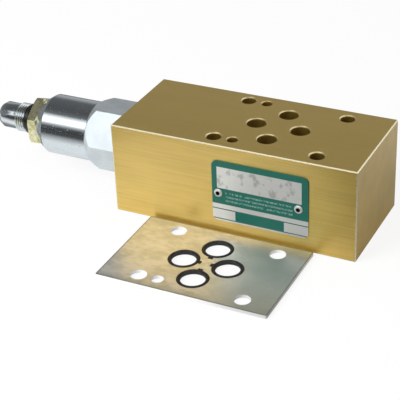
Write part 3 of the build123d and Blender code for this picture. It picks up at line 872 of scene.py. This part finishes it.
@dataclass
class AdjustingScrew:
    """The adjusting screw with its real thread, in place of the plain CAD one.

    Stations are millimetres from the block's left end face, along +X.
    """

    wardrobe: Wardrobe
    face: float
    height: float
    tip: float
    pitch: float = 1.0
    crest_radius: float = 5.95
    core_radius: float = 5.3
    tip_radius: float = 4.25
    tip_length: float = 1.85
    nose_length: float = 6.8
    cone_length: float = 2.9
    thread_end: float = -35.6
    collar_start: float = -34.3
    collar_end: float = -29.3
    collar_radius: float = 7.45
    groove: tuple[float, float] = (-32.75, -30.85)
    groove_radius: float = 6.0
    dome: tuple[float, float] = (-28.75, 2.0)
    ring: tuple[float, float] = (-50.1, -48.9)
    ring_floor: float = 5.25
    socket_width: float = 6.0
    socket_depth: float = 6.5
    parts: list[bpy.types.Object] = field(default_factory=list)

    def build(self) -> None:
        """Makes the turned blank with its hexagon socket, and the thread that runs along it."""
        blank = self._blank()
        thread = self._thread()
        for piece, dress in ((blank, Dress.POLISHED_ZINC), (thread, Dress.THREADED_ZINC)):
            self.wardrobe.put(piece, dress)
            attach(piece, "screw")
            self.parts.append(piece)
            LOG.info("%s has %d faces", piece.name, len(piece.data.polygons))
        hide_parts("adjusting_screw")

    def _blank(self) -> bpy.types.Object:
        """The screw turned down to its thread's core, less the socket in its tip."""
        nose_end = self.tip + self.nose_length
        cone_end = nose_end + self.cone_length
        outline = [
            (self.tip, 0),
            (self.tip, self.tip_radius - 0.15),
            (self.tip + 0.15, self.tip_radius),
            (self.tip + self.tip_length, self.core_radius),
            (nose_end, self.core_radius),
            (cone_end - 1.2, self.crest_radius - 0.35),
            (cone_end - 0.6, self.core_radius),
            (self.ring[0], self.core_radius),
            (self.ring[0], self.ring_floor),
            (self.ring[1], self.ring_floor),
            (self.ring[1], self.core_radius),
            (self.collar_start, self.core_radius),
            (self.collar_start, self.collar_radius),
            (self.groove[0], self.collar_radius),
            (self.groove[0], self.groove_radius),
            (self.groove[1], self.groove_radius),
            (self.groove[1], self.collar_radius),
            (self.collar_end, self.collar_radius),
            (self.collar_end, self.dome[1] + 1.0),
            (self.dome[0], self.dome[1]),
            (self.dome[0], 0),
        ]
        turning = Turning(self.face, self.height)
        piece = linked("adjusting_screw_blank", turning.mesh("adjusting_screw_blank", outline))
        cutter = self._socket_cutter(turning)
        cut = piece.modifiers.new("socket", "BOOLEAN")
        cut.operation = "DIFFERENCE"
        cut.solver = "EXACT"
        cut.object = cutter
        piece = finished(piece)
        bpy.data.objects.remove(cutter)
        soften(piece)
        return piece

    def _socket_cutter(self, turning: Turning) -> bpy.types.Object:
        """A hexagon bar that is taken out of the tip."""
        bar = Turning(turning.face, turning.height, 6)
        corner = self.socket_width / math.sqrt(3)
        ends = (self.tip - 1.0, self.tip + self.socket_depth)
        outline = [(ends[0], 0), (ends[0], corner), (ends[1], corner), (ends[1] + 1.0, 0)]
        return linked("socket_cutter", bar.mesh("socket_cutter", outline))

    def _thread(self) -> bpy.types.Object:
        """A ridge wound along the core, made by Geometry Nodes and kept as a plain mesh."""
        start = self.tip + self.nose_length + self.cone_length - 1.2
        length = self.thread_end - start
        tree = ThreadTree(self.wardrobe.material(Dress.THREADED_ZINC)).build()
        carrier = linked("screw_thread", bpy.data.meshes.new("screw_thread"))
        modifier = carrier.modifiers.new("thread", "NODES")
        modifier.node_group = tree
        sizes = {
            "Length": length * MM,
            "Turns": length / self.pitch,
            "Core Radius": (self.core_radius + 0.02) * MM,
            "Ridge Height": (self.crest_radius - self.core_radius - 0.02) * MM,
            "Ridge Width": 0.9 * self.pitch * MM,
        }
        sockets = {item.name: item.identifier for item in tree.interface.items_tree}
        for name, value in sizes.items():
            modifier[sockets[name]] = value
        piece = finished(carrier)
        quarter = Matrix.Rotation(math.radians(90), 4, "Y")
        shift = Matrix.Translation((self.face + start * MM, 0, self.height))
        piece.data.transform(shift @ quarter)
        soften(piece, 50.0)
        return piece


@dataclass
class ThreadTree:
    """The Geometry Nodes tree of a screw thread's ridge."""

    material: bpy.types.Material

    def build(self) -> bpy.types.NodeTree:
        """Winds a diamond section round a spiral.

        Returns:
            The node group, with its sizes as named inputs.
        """
        tree = bpy.data.node_groups.new("thread_ridge", "GeometryNodeTree")
        for name in ("Length", "Turns", "Core Radius", "Ridge Height", "Ridge Width"):
            tree.interface.new_socket(name, in_out="INPUT", socket_type="NodeSocketFloat")
        tree.interface.new_socket("Geometry", in_out="OUTPUT", socket_type="NodeSocketGeometry")
        maker = NodeMaker(tree)
        sizes = maker.node("NodeGroupInput")
        height = maker.term(sizes, "Ridge Height")
        half_width = maker.term(sizes, "Ridge Width") / 2.0
        spiral = maker.node(
            "GeometryNodeCurveSpiral",
            None,
            {
                "Resolution": 72,
                "Rotations": maker.term(sizes, "Turns"),
                "Start Radius": maker.term(sizes, "Core Radius"),
                "End Radius": maker.term(sizes, "Core Radius"),
                "Height": maker.term(sizes, "Length"),
            },
        )
        upright = maker.node(
            "GeometryNodeSetCurveNormal", {"mode": "Z_UP"}, {"Curve": maker.term(spiral)}
        )
        section = maker.node(
            "GeometryNodeCurvePrimitiveQuadrilateral",
            {"mode": "KITE"},
            {"Width": height * 2.0, "Bottom Height": half_width, "Top Height": half_width},
        )
        ridge = maker.node(
            "GeometryNodeCurveToMesh",
            None,
            {
                "Curve": maker.term(upright),
                "Profile Curve": maker.term(section),
                "Fill Caps": True,
            },
        )
        real = maker.node("GeometryNodeRealizeInstances", None, {"Geometry": maker.term(ridge)})
        dressed = maker.node(
            "GeometryNodeSetMaterial", None, {"Geometry": maker.term(real), "Material": self.material}
        )
        maker.node("NodeGroupOutput", None, {"Geometry": maker.term(dressed)})
        return tree


# Studio


@dataclass(frozen=True)
class StudioCamera:
    """The photograph's viewpoint, from the front left bolt hole's mouth."""

    aim: Vector
    azimuth: float = 27.28
    elevation: float = 30.40
    roll: float = -2.57
    distance: float = 0.474204
    slide_right: float = 0.005014
    slide_up: float = 0.023411
    focal_pixels: float = 1296.734
    frame_pixels: float = 400.0
    sensor: float = 36.0

    def build(self) -> bpy.types.Object:
        """Makes the camera and makes it the scene's own.

        Returns:
            The camera object.
        """
        turn, rise, tilt = (math.radians(v) for v in (self.azimuth, self.elevation, self.roll))
        back = Vector(
            (math.sin(turn) * math.cos(rise), -math.cos(turn) * math.cos(rise), math.sin(rise))
        )
        level = Vector((math.cos(turn), math.sin(turn), 0))
        upright = back.cross(level)
        right = math.cos(tilt) * level + math.sin(tilt) * upright
        up = math.cos(tilt) * upright - math.sin(tilt) * level
        place = self.aim + back * self.distance - right * self.slide_right - up * self.slide_up
        data = bpy.data.cameras.new("studio_camera")
        data.sensor_width = self.sensor
        data.lens = self.focal_pixels / self.frame_pixels * self.sensor
        data.clip_start = 0.01
        camera = bpy.data.objects.new("studio_camera", data)
        bpy.context.scene.collection.objects.link(camera)
        turned = Matrix((right, up, back)).transposed().to_4x4()
        camera.matrix_world = Matrix.Translation(place) @ turned
        bpy.context.scene.camera = camera
        return camera


@dataclass(frozen=True)
class SoftLamp:
    """One soft lamp of the studio."""

    name: str
    place: Colour
    size: float
    power: float
    in_reflections: bool = False

    def build(self, target: Vector) -> bpy.types.Object:
        """Hangs the lamp and turns it to the object.

        Args:
            target: the point it shines on.

        Returns:
            The lamp object.
        """
        data = bpy.data.lights.new(self.name, "AREA")
        data.shape = "SQUARE"
        data.size = self.size
        data.energy = self.power
        lamp = bpy.data.objects.new(self.name, data)
        bpy.context.scene.collection.objects.link(lamp)
        lamp.location = self.place
        lamp.rotation_euler = (target - Vector(self.place)).to_track_quat("-Z", "Y").to_euler()
        lamp.visible_glossy = self.in_reflections
        return lamp


@dataclass(frozen=True)
class Card:
    """A card of the studio that only reflections show, graded along one axis of the frame.

    Corners are in metres. Stops are (metres along the axis from the start, level) pairs.
    """

    name: str
    corners: tuple[Colour, Colour, Colour, Colour]
    axis: int
    start: float
    stops: tuple[tuple[float, float], ...]

    def build(self) -> bpy.types.Object:
        """Makes the card.

        Returns:
            The card's object.
        """
        mesh = bpy.data.meshes.new(self.name)
        mesh.from_pydata(self.corners, [], [(0, 1, 2, 3)])
        card = linked(self.name, mesh)
        for sight in ("camera", "diffuse", "transmission", "volume_scatter", "shadow"):
            setattr(card, f"visible_{sight}", False)
        material = bpy.data.materials.new(self.name)
        material.use_nodes = True
        material.cycles.emission_sampling = "NONE"
        material.node_tree.nodes.clear()
        maker = NodeMaker(material.node_tree)
        along = maker.split(maker.object_place())[self.axis] / PER_METRE - self.start
        reach = self.stops[-1][0]
        places = tuple((place / reach, level) for place, level in self.stops)
        level = maker.graded(along, reach, places)
        glow = maker.node("ShaderNodeEmission", None, {"Color": level, "Strength": 1.0})
        maker.node("ShaderNodeOutputMaterial", None, {"Surface": maker.term(glow)})
        mesh.materials.append(material)
        return card


@dataclass(frozen=True)
class Studio:
    """White surroundings, soft light, and the dark cards that shape what the metal reflects."""

    ambient: float = 0.46
    floor_size: float = 12.0
    floor_start: float = -110.0
    pool_x: tuple[float, float] = (-95.0, 2.0)
    pool_front: tuple[float, float] = (-130.0, -80.0)
    pool_level: float = 0.88
    dusk_x: tuple[float, float] = (10.0, 45.0)
    dusk_front: tuple[float, float] = (-8.0, -25.0)
    left_dusk_x: tuple[float, float] = (-108.0, -120.0)
    left_dusk_y: tuple[float, float] = (-16.0, -4.0)
    shadow_reach: tuple[float, float] = (180.0, 420.0)
    floor_fade: tuple[tuple[float, float], ...] = (
        (0.0, 0.05),
        (40.0, 0.24),
        (65.0, 0.50),
        (82.0, 0.86),
    )
    lamps: tuple[SoftLamp, ...] = (
        SoftLamp("front_left_lamp", (-0.40, -0.55, 0.52), 0.5, 6.0),
        SoftLamp("overhead_lamp", (0.1, -0.1, 0.9), 0.6, 0.5),
    )
    cards: tuple[Card, ...] = (
        Card(
            "back_card",
            ((-2.2, 1.2, 0.0), (0.6, 1.2, 0.0), (0.6, 1.2, 1.0), (-2.2, 1.2, 1.0)),
            2,
            0.0,
            ((0.0, 0.48), (0.40, 0.38), (0.68, 0.25), (1.0, 0.13)),
        ),
        Card(
            "left_card",
            ((-1.5, -1.0, 0.0), (-1.5, 1.2, 0.0), (-1.5, 1.2, 1.0), (-1.5, -1.0, 1.0)),
            2,
            0.0,
            ((0.0, 0.24), (0.5, 0.18), (1.0, 0.12)),
        ),
        Card(
            "canopy",
            ((-2.2, 1.2, 1.0), (0.6, 1.2, 1.0), (0.6, -0.68, 1.0), (-2.2, -0.68, 1.0)),
            1,
            -0.68,
            ((0.0, 1.0), (0.08, 0.8), (0.22, 0.16), (0.6, 0.09), (1.88, 0.13)),
        ),
        Card(
            "front_card",
            ((-2.2, -1.0, 0.0), (0.8, -1.0, 0.0), (0.8, -1.0, 0.52), (-2.2, -1.0, 0.52)),
            2,
            0.0,
            ((0.0, 0.06), (0.25, 0.06), (0.33, 0.15), (0.52, 0.6)),
        ),
        Card(
            "softbox",
            ((-1.05, -1.0, 0.52), (0.4, -1.0, 0.52), (0.4, -0.72, 1.0), (-1.05, -0.72, 1.0)),
            2,
            0.52,
            ((0.0, 0.6), (0.12, 1.9), (0.36, 1.9), (0.48, 1.0)),
        ),
        Card(
            "right_card",
            ((1.3, -1.0, 0.0), (1.3, 1.2, 0.0), (1.3, 1.2, 1.1), (1.3, -1.0, 1.1)),
            2,
            0.0,
            ((0.0, 0.54), (0.6, 0.54), (1.1, 0.8)),
        ),
    )

    def build(self, target: Vector) -> None:
        """Makes the world, the floor, the lamps and the cards.

        Args:
            target: the middle of the object.
        """
        self._world()
        self._floor()
        for lamp in self.lamps:
            lamp.build(target)
        for card in self.cards:
            card.build()

    def _world(self) -> None:
        """Is white to the camera, to reflections and through glass, and an even grey otherwise."""
        world = bpy.data.worlds.new("studio")
        bpy.context.scene.world = world
        world.use_nodes = True
        world.node_tree.nodes.clear()
        maker = NodeMaker(world.node_tree)
        level = maker.blend(seen_directly(maker), (self.ambient,) * 3, (1.0, 1.0, 1.0))
        background = maker.node("ShaderNodeBackground", None, {"Color": level, "Strength": 1.0})
        maker.node("ShaderNodeOutputWorld", None, {"Surface": maker.term(background)})

    def _floor(self) -> None:
        """A white floor that keeps a faint shadow, and in reflections ends in the dark in front. What
        reflections see of it also has a painted pool of light near the object, and painted shade right
        of the block and by the screw's nose.
        """
        half = self.floor_size / 2
        mesh = bpy.data.meshes.new("floor")
        corners = [(-half, -half, 0), (half, -half, 0), (half, half, 0), (-half, half, 0)]
        mesh.from_pydata(corners, [], [(0, 1, 2, 3)])
        floor = linked("floor", mesh)
        material = bpy.data.materials.new("floor")
        material.use_nodes = True
        material.node_tree.nodes.clear()
        maker = NodeMaker(material.node_tree)
        ray = maker.node("ShaderNodeLightPath")
        x, y, _ = maker.split(maker.object_place())
        reach = self.floor_fade[-1][0]
        fade = tuple((place / reach, level) for place, level in self.floor_fade)
        lit = maker.graded(y - self.floor_start, reach, fade)
        # Painted pool of light: what reflections see of the floor is brighter near the object.
        pool = maker.band(x, *self.pool_x, 25.0) * maker.smooth(y, *self.pool_front)
        lit = maker.blend(pool, lit, (self.pool_level,) * 3)
        # Painted shade: darker to the right of the block, and left of and behind the screw's nose.
        dusk = maker.smooth(x, *self.dusk_x) * (0.36 + 0.14 * maker.smooth(y, *self.dusk_front))
        left_dusk = maker.smooth(x, *self.left_dusk_x) * maker.smooth(y, *self.left_dusk_y)
        lit = maker.blend(maker.math("MAXIMUM", dusk, left_dusk * 0.7), lit, (0.0, 0.0, 0.0))
        reflected = maker.node("ShaderNodeBsdfDiffuse", None, {"Color": lit})
        pale = maker.node("ShaderNodeBsdfDiffuse", None, {"Color": (1.0, 1.0, 1.0, 1.0)})
        white = maker.node("ShaderNodeEmission", None, {"Color": (1.0, 1.0, 1.0, 1.0), "Strength": 1.0})
        away = maker.math("SQRT", x * x + y * y)
        plain = 0.86 + 0.14 * maker.smooth(away, *self.shadow_reach)
        shown = maker.node(
            "ShaderNodeMixShader", None, {0: plain, 1: maker.term(pale), 2: maker.term(white)}
        )
        choice = maker.node(
            "ShaderNodeMixShader",
            None,
            {0: maker.term(ray, "Is Camera Ray"), 1: maker.term(reflected), 2: maker.term(shown)},
        )
        maker.node("ShaderNodeOutputMaterial", None, {"Surface": maker.term(choice)})
        mesh.materials.append(material)


def seen_directly(maker: NodeMaker) -> Term:
    """Is 1 for camera, reflected and transmitted rays, and 0 for light that falls on a surface."""
    ray = maker.node("ShaderNodeLightPath")
    total = (
        maker.term(ray, "Is Camera Ray")
        + maker.term(ray, "Is Glossy Ray")
        + maker.term(ray, "Is Transmission Ray")
    )
    return maker.math("MINIMUM", total, 1.0)


def main() -> None:
    """Builds the pieces in order."""
    logging.basicConfig(level=logging.INFO, format="%(message)s")
    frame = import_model()
    nodes = frame["nodes"]
    wardrobe = Wardrobe()
    DressedNodes(wardrobe, frame["record"], nodes).dress()

    block_low, block_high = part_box("valve_body")
    screw_low, screw_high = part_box("adjusting_screw")
    axis_height = 20.0 * MM
    tip = (screw_low.x - block_low.x) / MM
    AdjustingScrew(wardrobe, block_low.x, axis_height, tip).build()
    MainSpring(wardrobe, nodes["main_spring"]).build()

    mouth = Vector((-20.25 * MM, -15.5 * MM, block_high.z))
    StudioCamera(mouth).build()
    Studio().build(Vector((-0.03, -0.02, 0.02)))
    bpy.context.scene.view_settings.view_transform = "Standard"


if __name__ == "__main__":
    main()
